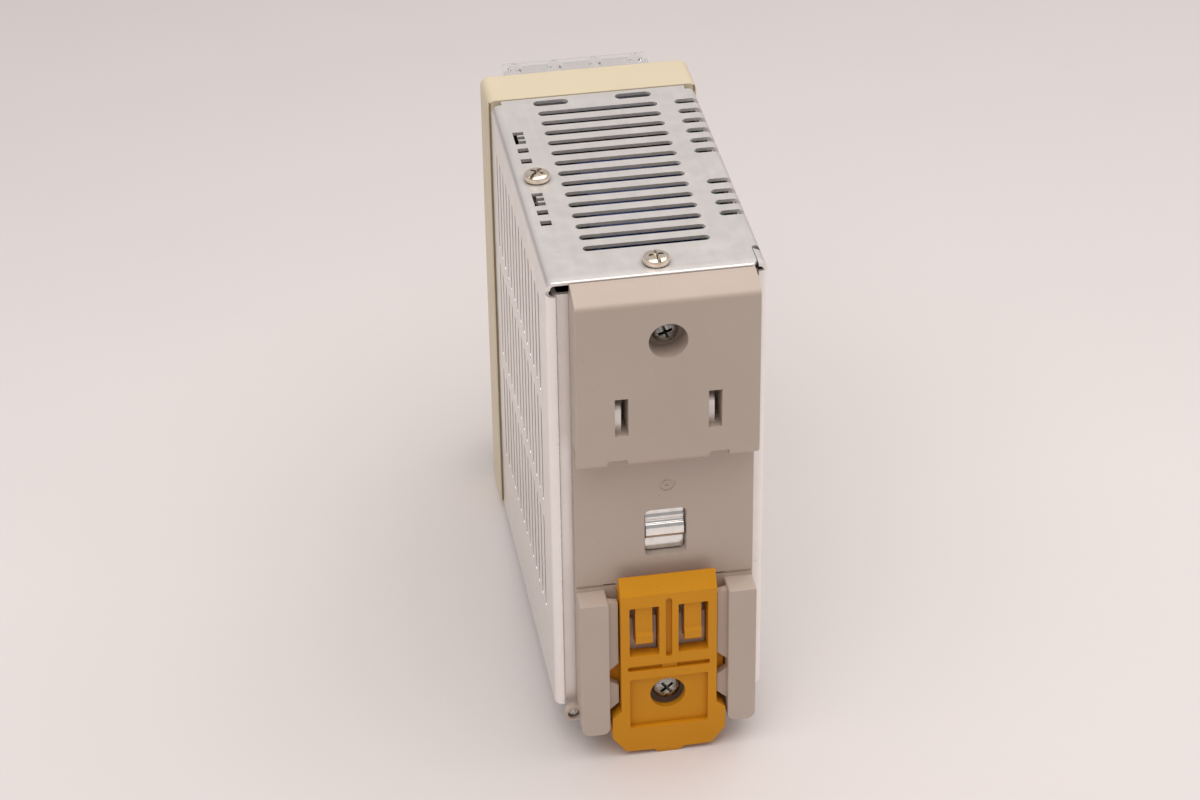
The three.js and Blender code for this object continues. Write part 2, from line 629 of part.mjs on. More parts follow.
place("output_block", terminalBlock(4), "blackPlastic");
place("input_block", flip(terminalBlock(3)), "blackPlastic");
place("output_cover", clearCover(4), "clearPlastic");
place("input_cover", flip(clearCover(3)), "clearPlastic");
fitTerminals("output", 4, BLOCK.screwZ, "nickel");
fitTerminals("input", 3, 2 * MID_Z - BLOCK.screwZ, "nickel");

// ---- Console controls: voltage trimmer and two indicator lenses on their own board ----
const trimmerBody = carve(
  box(-4.8, 4.8, 0, 5.4, -4.8, 4.8),
  prismY(circle(0, 0, 1.5, COARSE), -1, 3),
);
place("trimmer_body", trimmerBody, "blueSleeve", [TRIMMER_X, -51.6, CONTROL_Z]);
const knob = carve(
  turned([[0, -1.8], [1.2, -1.8], [1.2, 0], [3.3, 0], [3.3, 3.6], [2.9, 4.1], [0, 4.1]]),
  box(-2.6, 2.6, 3, 5, -0.5, 0.5),
);
place("trimmer_knob", aimed(knob, "-Y"), "creamPlastic", [TRIMMER_X, -52, CONTROL_Z]);
for (const [name, x, look] of LENSES) {
  const lens = turned([[0, 0], [1.5, 0], [1.5, 8.2], [1.1, 8.9], [0, 9.2]], COARSE);
  place(name, aimed(lens, "-Y"), look, [x, -48.2, CONTROL_Z]);
}
place("indicator_board", box(-17, 17, -45.8, -44.2, 62, 89), "board");

// ---- Circuit inside the case ----
const BOARD_X = -19;
const PART_X = BOARD_X + 0.3;

place("main_board", box(BOARD_X - 1.6, BOARD_X, -34, 48, 15, 121), "board");
place("insulating_sheet", box(-22.6, -22.2, -28, 49, 14, 122), "fibreSheet");

// Transformer: a ferrite frame with a middle leg, and the taped winding round that leg.
const transformerCore = carve(
  box(-12, 2, 2, 38, 43, 83),
  box(-13, 3, 7, 15, 50, 76),
  box(-13, 3, 25, 33, 50, 76),
);
const transformerWinding = carve(
  prismZ(roundRect(-18.4, 8.4, 7.3, 32.7, 3, 3), 50.3, 75.7),
  box(-12.3, 2.3, 14.7, 25.3, 49, 77),
);
place("transformer_core", transformerCore, "ferrite");
place("transformer_winding", transformerWinding, "tape");

// A round capacitor lying out from the board along +X.
function capacitor(radius, length) {
  const shell = turned([
    [0, 0],
    [radius, 0],
    [radius, 2],
    [radius - 0.5, 2.5],
    [radius, 3],
    [radius, length - 0.6],
    [radius - 0.6, length],
    [0, length],
  ], 16);
  const reach = radius * 0.6;
  const vent = union(
    box(-reach, reach, length - 0.3, length + 1, -0.2, 0.2),
    box(-0.2, 0.2, length - 0.3, length + 1, -reach, reach),
  );
  return aimed(carve(shell, vent), "+X");
}

place("bulk_capacitor", capacitor(11, 35), "blackSleeve", [PART_X, -14, 66]);
[-24, -11, 2].forEach((y, i) => {
  place(`output_capacitor_${i + 1}`, capacitor(5.2, 24), "blueSleeve", [PART_X, y, 106]);
});

function toroid(ringRadius, coilRadius) {
  const ring = new THREE.TorusGeometry(ringRadius, coilRadius, 8, 14).rotateY(Math.PI / 2);
  return solidOf(ring);
}

place("filter_choke", toroid(9, 4.2), "copperWire", [PART_X + 4.3, -14, 34]);
place("output_choke", toroid(8, 4), "copperWire", [PART_X + 4.1, 24, 101]);
place("filter_capacitor", box(PART_X, PART_X + 15, 5, 23, 24, 33), "yellowBox");
place("fuse", prismZ(circle(PART_X + 3.2, -30, 2.6, COARSE), 20, 40), "glassTube");
place("inrush_thermistor", prismY(circle(PART_X + 7.2, 47.5, 5.5), -33.5, -29.5), "blackSleeve");

place("primary_heat_sink", union(
  box(PART_X, 18, 44, 46, 18, 62),
  box(PART_X, PART_X + 2, 46, 49, 18, 62),
), "aluminium");
place("secondary_heat_sink", union(
  box(PART_X, 18, 44, 46, 86, 120),
  box(PART_X, PART_X + 2, 46, 49, 86, 120),
), "aluminium");
place("switch_transistor", box(-4, 6.5, 39.2, 43.7, 24, 40), "blackPlastic");
place("bridge_rectifier", box(-14, 8, 39.9, 43.7, 45, 60), "blackPlastic");
place("output_rectifier", box(-4, 6.5, 39.2, 43.7, 94, 110), "blackPlastic");

export default supply;
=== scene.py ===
import json
import math

import bmesh
import bpy
from mathutils import Matrix, Vector

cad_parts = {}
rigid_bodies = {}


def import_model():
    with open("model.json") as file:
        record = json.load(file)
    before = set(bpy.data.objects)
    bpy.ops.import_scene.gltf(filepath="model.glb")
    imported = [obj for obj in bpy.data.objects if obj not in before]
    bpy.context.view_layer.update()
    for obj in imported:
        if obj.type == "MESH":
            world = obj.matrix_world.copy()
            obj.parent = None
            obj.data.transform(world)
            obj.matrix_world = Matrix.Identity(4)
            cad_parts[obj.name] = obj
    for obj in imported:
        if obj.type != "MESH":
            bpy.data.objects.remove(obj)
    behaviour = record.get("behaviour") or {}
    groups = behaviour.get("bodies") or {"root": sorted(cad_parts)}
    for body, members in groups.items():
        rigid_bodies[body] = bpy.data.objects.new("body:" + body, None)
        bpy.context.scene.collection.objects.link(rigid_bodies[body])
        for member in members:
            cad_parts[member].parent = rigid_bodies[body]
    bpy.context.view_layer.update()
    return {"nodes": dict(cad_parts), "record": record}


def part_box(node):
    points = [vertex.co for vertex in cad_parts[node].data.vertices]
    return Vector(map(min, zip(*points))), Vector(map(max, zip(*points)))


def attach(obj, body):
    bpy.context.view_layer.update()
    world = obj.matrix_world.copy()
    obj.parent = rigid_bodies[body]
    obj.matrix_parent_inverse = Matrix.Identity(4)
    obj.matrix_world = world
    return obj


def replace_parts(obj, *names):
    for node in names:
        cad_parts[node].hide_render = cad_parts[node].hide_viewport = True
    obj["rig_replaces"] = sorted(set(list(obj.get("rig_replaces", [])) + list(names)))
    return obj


MM = 0.001
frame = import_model()

RECORD = frame["record"]
SLOT_OF = {s["node"]: s["material_slot"] for s in RECORD["subparts"]}
BODY_OF = {n: body for body, nodes in RECORD["behaviour"]["bodies"].items() for n in nodes}
NODES = frame["nodes"]


def box_mm(node):
    low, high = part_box(node)
    return low / MM, high / MM


# ---- Outlines, as lists of (u, v) ----
def arc(u, v, radius, start, end, steps=8):
    angles = [math.radians(start + (end - start) * i / steps) for i in range(steps + 1)]
    return [(u + radius * math.cos(a), v + radius * math.sin(a)) for a in angles]


def circle(u, v, radius, steps=40):
    return arc(u, v, radius, 0, 360, steps)[:-1]


def rounded(u0, u1, v0, v1, radius, steps=8):
    r = radius
    return (
        arc(u1 - r, v0 + r, r, -90, 0, steps)
        + arc(u1 - r, v1 - r, r, 0, 90, steps)
        + arc(u0 + r, v1 - r, r, 90, 180, steps)
        + arc(u0 + r, v0 + r, r, 180, 270, steps)
    )


def eased(a, corner, b, steps=4):
    """Points of a soft corner from a to b."""
    points = []
    for i in range(steps + 1):
        t = i / steps
        weights = ((1 - t) ** 2, 2 * t * (1 - t), t * t)
        points.append(tuple(sum(w * c for w, c in zip(weights, cs)) for cs in zip(a, corner, b)))
    return points


def slot_along(u0, u1, v, width, steps=10):
    r = width / 2
    return arc(u1 - r, v, r, -90, 90, steps) + arc(u0 + r, v, r, 90, 270, steps)


def slot_across(u, v0, v1, width, steps=10):
    r = width / 2
    return arc(u, v1 - r, r, 0, 180, steps) + arc(u, v0 + r, r, 180, 360, steps)


# ---- Solids, as objects in millimetres ----
PLACE = {
    "X": lambda u, v, h: (h, u, v),
    "Y": lambda u, v, h: (u, h, v),
    "Z": lambda u, v, h: (u, v, h),
}


def from_bmesh(bm, name="solid"):
    bmesh.ops.recalc_face_normals(bm, faces=bm.faces)
    mesh = bpy.data.meshes.new(name)
    bm.to_mesh(mesh)
    bm.free()
    obj = bpy.data.objects.new(name, mesh)
    bpy.context.scene.collection.objects.link(obj)
    return obj


def loft(rings, axis):
    """A closed solid through rings, each an outline and its height along the axis."""
    bm = bmesh.new()
    loops = [[bm.verts.new(PLACE[axis](u, v, h)) for u, v in outline] for outline, h in rings]
    count = len(loops[0])
    for below, above in zip(loops, loops[1:]):
        for i in range(count):
            j = (i + 1) % count
            bm.faces.new((below[i], below[j], above[j], above[i]))
    bm.faces.new(loops[0])
    bm.faces.new(loops[-1])
    return from_bmesh(bm)


def prism(outline, low, high, axis):
    return loft([(outline, low), (outline, high)], axis)


def block(x0, x1, y0, y1, z0, z1):
    return prism([(x0, y0), (x1, y0), (x1, y1), (x0, y1)], z0, z1, "Z")


def turned(profile, steps=40):
    """A profile of (radius, height) turned about +Z. It starts and ends on the axis."""
    bm = bmesh.new()
    rows = []
    for r, h in profile:
        if r < 1e-6:
            rows.append([bm.verts.new((0, 0, h))])
        else:
            rows.append([bm.verts.new((u, v, h)) for u, v in circle(0, 0, r, steps)])
    for a, b in zip(rows, rows[1:]):
        for i in range(steps):
            j = (i + 1) % steps
            corners = [a[i % len(a)], a[j % len(a)], b[j % len(b)], b[i % len(b)]]
            unique = list(dict.fromkeys(corners))
            if len(unique) > 2:
                bm.faces.new(unique)
    return from_bmesh(bm)


def shifted(obj, at=(0, 0, 0), turn=None):
    if turn:
        obj.data.transform(turn)
    obj.data.transform(Matrix.Translation(at))
    return obj


def remove(obj):
    mesh = obj.data
    bpy.data.objects.remove(obj)
    bpy.data.meshes.remove(mesh)


def combine(base, operation, tools):
    for tool in tools:
        step = base.modifiers.new("step", "BOOLEAN")
        step.operation, step.object, step.solver = operation, tool, "MANIFOLD"
    depsgraph = bpy.context.evaluated_depsgraph_get()
    made = bpy.data.meshes.new_from_object(base.evaluated_get(depsgraph))
    base.modifiers.clear()
    old = base.data
    base.data = made
    bpy.data.meshes.remove(old)
    for tool in tools:
        remove(tool)
    return base


def cut(base, *tools):
    return combine(base, "DIFFERENCE", tools)


def fuse(base, *tools):
    return combine(base, "UNION", tools)


FLAT = math.radians(0.6)
EDGE = math.radians(32)


def clean(mesh, reach):
    """Merges the slivers and coplanar triangles that joining and cutting leave."""
    bm = bmesh.new()
    bm.from_mesh(mesh)
    bmesh.ops.remove_doubles(bm, verts=bm.verts, dist=reach)
    bmesh.ops.dissolve_limit(bm, angle_limit=FLAT, verts=bm.verts, edges=bm.edges)
    bm.to_mesh(mesh)
    bm.free()


def soften(obj, radius, segments=3):
    """Small moulded or pressed radii on every real edge."""
    obj.data.shade_smooth()
    bevel = obj.modifiers.new("edges", "BEVEL")
    bevel.limit_method = "ANGLE"
    bevel.angle_limit = EDGE
    bevel.width = radius
    bevel.segments = segments
    bevel.miter_outer = "MITER_ARC"
    bevel.use_clamp_overlap = True
    normals = obj.modifiers.new("normals", "WEIGHTED_NORMAL")
    normals.keep_sharp = True
    normals.weight = 60


def piece(obj, name, node, radius=0.25, segments=3, look=None):
    """Turns a finished solid into a named piece that stands for a CAD node."""
    clean(obj.data, 1e-3)
    obj.name = obj.data.name = name
    obj.data.transform(Matrix.Scale(MM, 4))
    if radius:
        soften(obj, radius * MM, segments)
    obj.data.materials.clear()
    obj.data.materials.append(look or LOOKS[SLOT_OF[node]])
    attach(obj, BODY_OF[node])
    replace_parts(obj, node)
    return obj


# ---- Materials ----
class Tree:
    """A material's nodes, added by type with their inputs and settings."""

    def __init__(self, name):
        self.material = bpy.data.materials.new(name)
        self.material.use_nodes = True
        self.nodes = self.material.node_tree.nodes
        self.links = self.material.node_tree.links
        self.shader = self.nodes["Principled BSDF"]
        self.place = self.add("TexCoord").outputs["Object"]

    def set(self, node, **inputs):
        for key, value in inputs.items():
            socket = node.inputs[key.replace("_", " ")]
            if isinstance(value, bpy.types.NodeSocket):
                self.links.new(value, socket)
            else:
                socket.default_value = value
        return node

    def add(self, kind, settings=(), **inputs):
        node = self.nodes.new("ShaderNode" + kind)
        for key, value in dict(settings).items():
            setattr(node, key, value)
        return self.set(node, **inputs)

    def stretched(self, scale):
        node = self.add("Mapping", Vector=self.place)
        node.inputs["Scale"].default_value = scale
        return node.outputs["Vector"]

    def noise(self, scale, detail=3.0, roughness=0.55, vector=None):
        node = self.add("TexNoise", Vector=vector or self.place, Scale=scale, Detail=detail)
        node.inputs["Roughness"].default_value = roughness
        return node.outputs["Fac"]

    def remap(self, value, low, high, to_low, to_high):
        node = self.add("MapRange", Value=value)
        for name, number in zip(("From Min", "From Max", "To Min", "To Max"), (low, high, to_low, to_high)):
            node.inputs[name].default_value = number
        return node.outputs["Result"]

    def mix(self, factor, a, b):
        node = self.add("Mix", {"data_type": "RGBA"})
        names = ("Factor_Float", "A_Color", "B_Color")
        for name, value in zip(names, (factor, a, b)):
            socket = next(s for s in node.inputs if s.identifier == name)
            if isinstance(value, bpy.types.NodeSocket):
                self.links.new(value, socket)
            else:
                socket.default_value = value
        return next(s for s in node.outputs if s.identifier == "Result_Color")

    def math(self, operation, a, b):
        node = self.add("Math", {"operation": operation})
        for socket, value in zip(node.inputs, (a, b)):
            if isinstance(value, bpy.types.NodeSocket):
                self.links.new(value, socket)
            else:
                socket.default_value = value
        return node.outputs["Value"]

    def edges(self, reach):
        """0 on flats, 1 on edges, from how far the surface turns within the reach."""
        rounded_normal = self.add("Bevel", Radius=reach).outputs["Normal"]
        plain = self.add("NewGeometry").outputs["Normal"]
        turn = self.add("VectorMath", {"operation": "DOT_PRODUCT"})
        self.links.new(rounded_normal, turn.inputs[0])
        self.links.new(plain, turn.inputs[1])
        return self.remap(turn.outputs["Value"], 0.995, 0.85, 0, 1)

    def axis(self, name):
        return self.add("SeparateXYZ", Vector=self.place).outputs[name]

    def crevices(self, reach, low=0.35, high=0.85):
        """1 deep inside gaps and holes, 0 out in the open."""
        node = self.add("AmbientOcclusion", {"samples": 4}, Distance=reach)
        return self.remap(node.outputs["AO"], low, high, 1, 0)

    def bump(self, height, strength, distance, under=None):
        node = self.add("Bump", Height=height, Strength=strength, Distance=distance)
        if under:
            self.links.new(under, node.inputs["Normal"])
        return node.outputs["Normal"]


def rgba(colour, gain=1.0):
    return (*[min(1.0, c * gain) for c in colour], 1.0)


def plastic(name, colour, shade, rough=(0.42, 0.58), grain=3200.0, depth=0.00003, specular=0.4, painted_gap_shade=0.35):
    """Moulded plastic: faint flow mottling, spark-eroded grain, edges lightened by a painted highlight and a
    little smoother, painted shade in gaps and hollows.
    """
    t = Tree(name)
    flow = t.noise(38, 4, 0.5)
    cloud = t.remap(flow, 0.3, 0.7, 0, 1)
    base = t.mix(cloud, rgba(shade), rgba(colour))
    dust = t.remap(t.noise(900, 2, 0.6), 0.7, 0.78, 0, 0.5)
    base = t.mix(dust, base, rgba(shade, 0.8))
    edge_highlight_and_polish = t.edges(0.0003)
    # painted highlight: the edges are lightened in colour, standing in for light caught on them; the same
    # mask also lowers roughness a little
    base = t.mix(t.math("MULTIPLY", edge_highlight_and_polish, 0.35), base, rgba(colour, 1.12))
    # painted shade: darker in gaps and hollows from ambient occlusion, scaled by the material's gap-shade
    # amount
    base = t.mix(t.math("MULTIPLY", t.crevices(0.0014), painted_gap_shade), base, rgba(shade, 0.45))
    smudge = t.remap(t.noise(120, 5, 0.6), 0.35, 0.7, rough[0], rough[1])
    rougher = t.math("SUBTRACT", smudge, t.math("MULTIPLY", edge_highlight_and_polish, 0.08))
    normal = t.bump(t.noise(grain, 2, 0.6), 0.35, depth)
    normal = t.bump(flow, 0.12, 0.0004, normal)
    t.set(t.shader, Base_Color=base, Roughness=rougher, Normal=normal)
    t.shader.inputs["Specular IOR Level"].default_value = specular
    return t.material


def sheet_metal(name, colour, shade, rough=(0.3, 0.46), metallic=0.56, streak=(900, 40, 900)):
    """Zinc-plated sheet: rolling lines along Y, cloudy passivation, edges brightened by a painted highlight.
    """
    t = Tree(name)
    rolled = t.noise(1.0, 4, 0.65, t.stretched(streak))
    cloud = t.remap(t.noise(55, 5, 0.6), 0.3, 0.72, 0, 1)
    base = t.mix(cloud, rgba(shade), rgba(colour))
    base = t.mix(t.remap(rolled, 0.35, 0.75, 0, 0.35), base, rgba(shade, 0.9))
    edge_highlight_and_polish = t.edges(0.0003)
    # painted highlight: the edges are lightened in colour, standing in for glints; the same mask also lowers
    # roughness a little
    base = t.mix(t.math("MULTIPLY", edge_highlight_and_polish, 0.85), base, rgba(colour, 1.16))
    across = t.math("ABSOLUTE", t.axis("X"), 0)
    # painted shade darkens the openings of the top and inside from ambient occlusion, not the outer side
    # faces
    inward = t.remap(across, 0.0217, 0.0221, 0.8, 0)
    base = t.mix(t.math("MULTIPLY", t.crevices(0.0014), inward), base, rgba(shade, 0.3))
    # a painted highlight lightens the rear flanges (beyond about Y 50.5 mm), and the side faces take a
    # shinier finish
    rear = t.remap(t.axis("Y"), 0.0505, 0.0520, 0, 0.8)
    base = t.mix(rear, base, rgba(colour, 1.12))
    shine = t.remap(across, 0.0234, 0.0238, metallic, min(1.0, metallic + 0.35))
    spread = t.remap(t.noise(240, 4, 0.6), 0.3, 0.7, rough[0], rough[1])
    spread = t.math("SUBTRACT", spread, t.math("MULTIPLY", edge_highlight_and_polish, 0.1))
    normal = t.bump(rolled, 0.25, 0.00003)
    normal = t.bump(t.noise(95, 3, 0.5), 0.1, 0.0003, normal)
    t.set(t.shader, Base_Color=base, Roughness=spread, Normal=normal, Metallic=shine)
    return t.material


def plated(name, colour, shade, rough=(0.16, 0.32), metallic=1.0, lines=700.0, depth=0.00004):
    """Small plated or drawn metal parts: fine tool marks and a little tarnish; where the shade colour is very
    dark, as on steel, the mottling is a painted dark reflection.
    """
    t = Tree(name)
    tarnish_and_painted_reflection = t.remap(t.noise(420, 4, 0.6), 0.35, 0.7, 0, 1)
    base = t.mix(tarnish_and_painted_reflection, rgba(colour), rgba(shade))
    # painted shade: darker in recesses such as screw crosses and holes, from ambient occlusion
    base = t.mix(t.math("MULTIPLY", t.crevices(0.001), 0.85), base, rgba(shade, 0.25))
    spread = t.remap(t.noise(900, 3, 0.6), 0.3, 0.7, rough[0], rough[1])
    normal = t.bump(t.noise(lines, 3, 0.6), 0.25, depth)
    t.set(t.shader, Base_Color=base, Roughness=spread, Normal=normal, Metallic=metallic)
    return t.material


def clear(name, tint, rough=(0.04, 0.14)):
    """Clear moulding: thin, a touch milky, with faint scratches."""
    t = Tree(name)
    scratch = t.noise(1.0, 3, 0.6, t.stretched((2400, 160, 160)))
    spread = t.remap(scratch, 0.4, 0.75, rough[0], rough[1])
    normal = t.bump(t.noise(70, 2, 0.5), 0.06, 0.0004)
    base = t.mix(t.remap(t.noise(60, 3), 0.3, 0.7, 0, 1), rgba(tint), rgba(tint, 0.97))
    t.set(t.shader, Base_Color=base, Roughness=spread, Normal=normal)
    t.shader.inputs["Transmission Weight"].default_value = 0.97
    t.shader.inputs["IOR"].default_value = 1.2
    return t.material


def varnished(name, colour, shade, rough=(0.2, 0.4), cell=160.0):
    """Boards, tape and sleeves: a printed or wrapped surface under a gloss coat."""
    t = Tree(name)
    patch = t.add("TexVoronoi", Vector=t.place, Scale=cell).outputs["Distance"]
    base = t.mix(t.remap(patch, 0.1, 0.6, 0, 1), rgba(shade), rgba(colour))
    base = t.mix(t.remap(t.noise(45, 4), 0.35, 0.7, 0, 0.5), base, rgba(shade))
    spread = t.remap(t.noise(300, 4), 0.3, 0.7, rough[0], rough[1])
    normal = t.bump(t.noise(600, 3), 0.2, 0.00005)
    t.set(t.shader, Base_Color=base, Roughness=spread, Normal=normal)
    return t.material


LOOKS = {
    "zinc_sheet": sheet_metal("zinc_sheet", (0.89, 0.85, 0.825), (0.82, 0.785, 0.76)),
    "cream_plastic": plastic("cream_plastic", (0.76, 0.66, 0.48), (0.72, 0.62, 0.45)),
    # mount_plastic: the same cream moulding painted darker and pinker, painted shade for faces turned away
    # from the key light; its gap shade is kept low
    "mount_plastic": plastic("mount_plastic", (0.59, 0.49, 0.42), (0.555, 0.46, 0.39), painted_gap_shade=0.08),
    "yellow_plastic": plastic("yellow_plastic", (0.75, 0.32, 0.012), (0.67, 0.28, 0.008), specular=0.22),
    "spring_steel": plated("spring_steel", (0.93, 0.92, 0.90), (0.80, 0.79, 0.77), (0.1, 0.22)),
    "clear_plastic": clear("clear_plastic", (0.95, 0.96, 0.96)),
    "black_plastic": plastic("black_plastic", (0.028, 0.028, 0.03), (0.02, 0.02, 0.021), (0.35, 0.5)),
    "nickel": plated("nickel", (0.96, 0.86, 0.74), (0.80, 0.68, 0.54), (0.14, 0.28), 0.85),
    # steel: a dark base colour with strongly contrasting mottling, painted dark reflections and glints on the
    # screw heads
    "steel": plated("steel", (0.55, 0.54, 0.50), (0.12, 0.12, 0.10), (0.1, 0.3), 1.0, 900.0, 0.0018),
    "brass": plated("brass", (0.80, 0.60, 0.26), (0.62, 0.44, 0.18)),
    "board": varnished("board", (0.03, 0.16, 0.07), (0.02, 0.11, 0.05), cell=420.0),
    "ferrite": plastic("ferrite", (0.035, 0.035, 0.038), (0.022, 0.022, 0.024), (0.5, 0.7), 900.0),
    "tape": varnished("tape", (0.72, 0.50, 0.06), (0.60, 0.40, 0.04)),
    "blue_sleeve": varnished("blue_sleeve", (0.035, 0.08, 0.28), (0.02, 0.05, 0.18), (0.15, 0.3)),
    "black_sleeve": varnished("black_sleeve", (0.022, 0.022, 0.028), (0.014, 0.014, 0.018), (0.15, 0.3)),
    "aluminium": sheet_metal("aluminium", (0.80, 0.81, 0.82), (0.68, 0.69, 0.70), (0.3, 0.45), 1.0),
    "copper_wire": plated("copper_wire", (0.72, 0.34, 0.12), (0.50, 0.20, 0.06), (0.18, 0.35)),
    "yellow_box": varnished("yellow_box", (0.74, 0.56, 0.10), (0.62, 0.46, 0.08)),
    "glass_tube": clear("glass_tube", (0.90, 0.93, 0.93)),
    "green_lens": varnished("green_lens", (0.08, 0.45, 0.10), (0.05, 0.34, 0.07), (0.08, 0.2)),
    "red_lens": varnished("red_lens", (0.55, 0.07, 0.05), (0.42, 0.05, 0.04), (0.08, 0.2)),
    "fibre_sheet": varnished("fibre_sheet", (0.05, 0.045, 0.04), (0.035, 0.03, 0.028), (0.5, 0.7)),
}

# ---- Case ----
SHEET = 0.8
BEND = 1.8
FLANGE_TOP = 121.3
FLANGE_EDGE = 22.2
WIDE_FLANGE_EDGE = 21.45
VENT_PITCH = 4.885
VENT_ROWS = 14
VENT_FIRST_Y = -23.6
VENT_WIDTH = 2.2
TOP_VENT_HALF = 14.1
SIDE_BANDS = ((30.3, 56.2), (59.9, 85.8), (89.5, 115.4))
WRAPPED_ROWS = (0, 1, 2, 3, 4, 5, 8, 9, 10, 11)
MOUNT_X = -1.0
FOOT_SCREW_Z = 16.3
RAIL_SCREW_Z = 112.3
RAIL_SCREW_SEAT_Y = 54.8
FOOT_SCREW_SEAT_Y = 55.6

case_low, case_high = box_mm("case_cover")
CASE_HALF = case_high.x
CASE_TOP = case_high.z
CASE_REAR = case_high.y
CASE_BOTTOM = case_low.z
CASE_FRONT = box_mm("front_bezel")[1].y + 0.2


def vent_rows():
    return [(row, VENT_FIRST_Y + row * VENT_PITCH) for row in range(VENT_ROWS)]


ROLLED = ((0.13, 0.0), (0.08, 0.015), (0.03, 0.05), (0.0, 0.11))


def flared(outline, inside, face, outside, axis):
    """A cutter for an opening with a rolled outer edge; outline(e) is the opening e wider all round."""
    side = 1 if outside > face else -1
    rings = [(outline(0.0), inside)]
    rings += [(outline(e), face - side * depth) for depth, e in ROLLED]
    rings.append((outline(ROLLED[-1][1]), outside))
    return loft(rings, axis)


def folded(centres, start, lead, tail, outer, thickness):
    """Outline of a sheet that follows arcs of the outer radius given, and back on its inner side."""
    out = [*lead]
    back = []
    for (u, v), begin in zip(centres, start):
        out += arc(u, v, outer, begin, begin + 90, 8)
        back = arc(u, v, outer - thickness, begin + 90, begin, 8) + back
    return out + list(tail) + back


def build_case_cover():
    half, top, rear = CASE_HALF, CASE_TOP, CASE_REAR
    bend_x, bend_z, bend_y = half - BEND, top - BEND, rear - BEND
    section = folded(
        [(bend_x, bend_z), (-bend_x, bend_z)], [0, 90],
        [(half, CASE_BOTTOM)], [(-half, CASE_BOTTOM), (SHEET - half, CASE_BOTTOM)], BEND, SHEET,
    ) + [(half - SHEET, CASE_BOTTOM)]
    cover = prism(section, CASE_FRONT, rear - 0.05, "Y")

    low_relief = (bend_y, rear + 1, 0, bend_z - 0.1)
    cover = cut(
        cover,
        block(bend_x - 1, half + 1, *low_relief),
        block(-half - 1, 1 - bend_x, *low_relief),
    )
    flange = folded(
        [(bend_x, bend_y)], [0], [(half, bend_y - 0.1)],
        [(FLANGE_EDGE, rear), (FLANGE_EDGE, rear - SHEET)], BEND, SHEET,
    ) + [(half - SHEET, bend_y - 0.1)]
    mirrored = [(-x if x > FLANGE_EDGE + 0.1 else -WIDE_FLANGE_EDGE, y) for x, y in flange]
    cover = fuse(
        cover,
        prism(flange, CASE_BOTTOM + 0.4, FLANGE_TOP, "Z"),
        prism(mirrored, CASE_BOTTOM + 0.4, bend_z - 0.2, "Z"),
        block(-22, 22, CASE_FRONT, CASE_FRONT + SHEET, 122.9, top - 0.1),
        block(-22, 22, CASE_FRONT - 3.7, CASE_FRONT + 0.1, 122.9, 122.9 + SHEET),
    )

    over, under = top + 1, top - SHEET - 1
    tools = []
    for row, y in vent_rows():
        tools.append(prism(slot_along(-TOP_VENT_HALF, TOP_VENT_HALF, y, VENT_WIDTH), under, over, "Z"))
        if row in WRAPPED_ROWS:
            wrapped = slot_along(-half - 2, -18.1, y, VENT_WIDTH)
            tools.append(prism(wrapped, top - 5.3, over, "Z"))
        for low, high in SIDE_BANDS:
            def upright(e):
                return slot_across(y, low - e, high + e, VENT_WIDTH + 2 * e)
            tools.append(flared(upright, half - 2, half, half + 1, "X"))
            tools.append(flared(upright, 2 - half, -half, -half - 1, "X"))
    for x0, x1 in ((6.2, 14.5), (-13.5, -4.9)):
        tools.append(prism(slot_along(x0, x1, CASE_FRONT + 2.75, 2.6), under, over, "Z"))
    for comb_y in (-12.8, 16.4):
        tools.append(block(20.5, 21.4, comb_y - 2.9, comb_y + 2.9, under, over))
        for finger in (-2.1, 0, 2.1):
            y = comb_y + finger
            tools.append(block(18.9, 20.8, y - 0.75, y + 0.75, under, over))
    for y in (-6.7, -1.6, 22.4, 27.2):
        tools.append(block(18.9, 21.4, y - 1.05, y + 1.05, under, over))
    for side in (1, -1):
        notch = sorted((side * (bend_x - 0.6), side * (half + 1)))
        tools.append(block(*notch, CASE_FRONT - 1, CASE_FRONT + 1.9, bend_z - 0.6, over))
    for node in ("case_screw_side", "case_screw_rear"):
        low, high = box_mm(node)
        tools.append(prism(circle((low.x + high.x) / 2, (low.y + high.y) / 2, 1.9), under, over, "Z"))
    tools.append(prism(circle(-23.1, 45.9, 0.95, 20), top - 4, over, "Z"))
    tools.append(block(-22.25, -22.07, 45.9, rear + 1, top - 3, over))
    corner = [(-22.1, 60), (-22.1, 51.4), *arc(-20.3, 51.4, 1.7, 180, 90, 8), (-20.3, 60)]
    tools.append(prism(corner, top - 3, over, "Z"))
    for x, y in ((19.35, 39.9), (10.2, 46.9), (19.9, -24.2)):
        dent = turned([(0, -1.6), (0.9, -1.32), (1.4, -0.8), (1.6, 0), (1.2, 1), (0, 1.6)], 24)
        tools.append(shifted(dent, (x, y, top + 1.38)))
    lip = [(rear + 0.5, top + 0.5), (rear - 0.6, top + 0.5), *arc(rear - 0.6, top - 0.6, 0.6, 90, 0, 6)]
    tools.append(prism([*lip, (rear + 0.5, top - 0.6)], -22, half + 1, "X"))
    for side in (1, -1):
        for z in (102.5, 83.6, 46.4, 27.4):
            crease = [(rear - 0.14, z), (rear + 0.2, z - 0.32), (rear + 0.2, z + 0.32)]
            ends = sorted((side * 22, side * 23.6))
            tools.append(prism(crease, *ends, "X"))
    return cut(cover, *tools)


piece(build_case_cover(), "cover_sheet", "case_cover", 0.2, 3)


